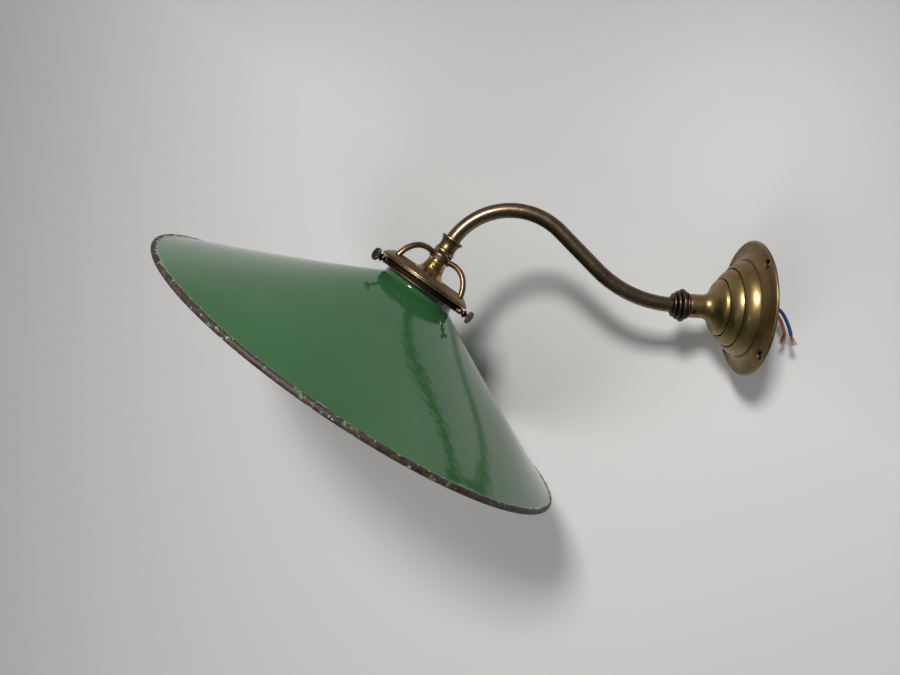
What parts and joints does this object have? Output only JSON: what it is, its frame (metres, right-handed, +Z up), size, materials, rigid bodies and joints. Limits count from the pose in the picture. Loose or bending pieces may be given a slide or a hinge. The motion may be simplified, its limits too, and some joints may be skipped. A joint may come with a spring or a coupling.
{
  "type": "swan neck wall light",
  "caption": "Antique brass swan neck wall light with a reeded collar, a three armed gallery, a green enamel coolie shade, a bayonet lampholder and loose wire tails.",
  "frame": {"origin": "centre of the rose's back face, on the wall", "axes": "+Y into the wall, so the light stands out along -Y; +Z up; the tube is bent in the plane x = 0"},
  "size_m": [0.3048, 0.418, 0.1953],
  "materials": {
    "aged_brass": "aged, part polished brass with dark grooves",
    "brown_brass": "brown patinated brass",
    "dark_bronze": "dark bronzed brass",
    "bright_brass": "polished brass",
    "green_enamel": "gloss vitreous enamel on steel, chipped at the rim",
    "porcelain": "glazed white porcelain",
    "steel": "plain bright steel",
    "blue_insulation": "smooth PVC insulation",
    "brown_insulation": "smooth PVC insulation",
    "copper": "bare drawn copper strands"
  },
  "bodies": {
    "rose": {"rose": "aged_brass", "neck_grub_screw": "dark_bronze", "arm_washer": "steel", "tail_wire_blue": "blue_insulation", "tail_wire_brown": "brown_insulation", "copper_strands_blue": "copper", "copper_strands_brown": "copper"},
    "arm": {"arm_backnut": "aged_brass", "arm_collar": "dark_bronze", "swan_neck_tube": "brown_brass", "shade_coupling": "aged_brass", "gallery_lock_ring": "dark_bronze", "holder_nipple": "aged_brass", "gallery": "brown_brass", "screw_boss_1": "brown_brass", "screw_boss_2": "brown_brass", "screw_boss_3": "brown_brass", "enamel_shade": "green_enamel", "holder_cap": "bright_brass", "holder_barrel": "bright_brass", "holder_insert": "porcelain", "contact_spring_1": "steel", "contact_spring_2": "steel", "terminal_post_1": "bright_brass", "terminal_post_2": "bright_brass", "terminal_screw_1": "steel", "terminal_screw_2": "steel", "arm_wire_blue": "blue_insulation", "arm_wire_brown": "brown_insulation"},
    "shade_screw_1": {"shade_screw_1": "dark_bronze"},
    "shade_screw_2": {"shade_screw_2": "dark_bronze"},
    "shade_screw_3": {"shade_screw_3": "dark_bronze"},
    "contact_plunger_1": {"contact_plunger_1": "bright_brass"},
    "contact_plunger_2": {"contact_plunger_2": "bright_brass"},
    "holder_ring": {"holder_ring": "bright_brass"}
  },
  "joints": [
    {"name": "arm_swivel", "type": "hinge", "parent": "rose", "child": "arm", "pos_m": [0, -0.039, 0], "axis": [0, 1, 0], "range_deg": [-90, 90]},
    {"name": "screw_1_back_off", "type": "slide", "parent": "arm", "child": "shade_screw_1", "axis": [0.6157, -0.6697, 0.4152], "range_m": [0, 0.005]},
    {"name": "screw_2_back_off", "type": "slide", "parent": "arm", "child": "shade_screw_2", "axis": [-0.9903, -0.1183, 0.0733], "range_m": [0, 0.005]},
    {"name": "screw_3_back_off", "type": "slide", "parent": "arm", "child": "shade_screw_3", "axis": [0.3746, 0.788, -0.4886], "range_m": [0, 0.005]},
    {"name": "contact_1_press", "type": "slide", "parent": "arm", "child": "contact_plunger_1", "axis": [0, 0.527, 0.8499], "range_m": [0, 0.003], "stiffness_N_per_m": 500, "deforming": ["contact_spring_1"]},
    {"name": "contact_2_press", "type": "slide", "parent": "arm", "child": "contact_plunger_2", "axis": [0, 0.527, 0.8499], "range_m": [0, 0.003], "stiffness_N_per_m": 500, "deforming": ["contact_spring_2"]},
    {"name": "ring_turn", "type": "hinge", "parent": "arm", "child": "holder_ring", "pos_m": [0, -0.22291, -0.00467], "axis": [0, 0.527, 0.8499], "range_deg": [-180, 180]}
  ]
}
